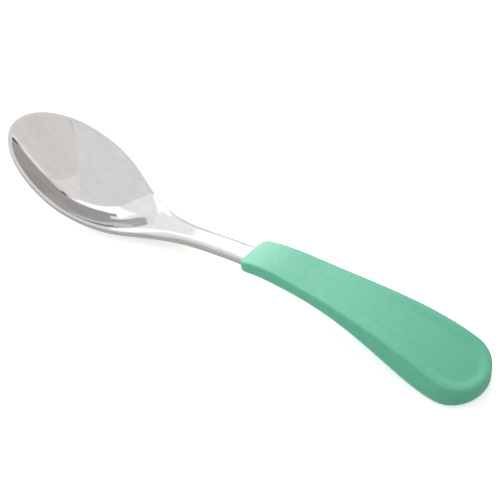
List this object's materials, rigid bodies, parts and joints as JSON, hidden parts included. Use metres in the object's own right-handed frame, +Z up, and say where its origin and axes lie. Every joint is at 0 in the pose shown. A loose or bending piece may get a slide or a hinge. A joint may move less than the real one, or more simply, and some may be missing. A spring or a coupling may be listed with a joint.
{
  "type": "baby spoon",
  "caption": "Small feeding spoon with a polished steel bowl and neck and a soft slip-on grip that pulls off the straight tang for washing.",
  "frame": {"origin": "on the table, under the middle of the spoon's bounding box", "axes": "+X from the bowl's tip to the grip's tail, +Y across the bowl, +Z up, with the hollow of the bowl facing up"},
  "size_m": [0.14, 0.0276, 0.0157],
  "materials": {
    "polished_steel": "mirror-polished stainless steel",
    "mint_silicone": "satin mint-green silicone"
  },
  "bodies": {
    "spoon": {"steel_spoon": "polished_steel"},
    "sleeve": {"grip_sleeve": "mint_silicone"}
  },
  "joints": [
    {"name": "sleeve_pull", "type": "slide", "parent": "spoon", "child": "sleeve", "axis": [0.9949, 0, 0.1011], "range_m": [0, 0.03]}
  ]
}
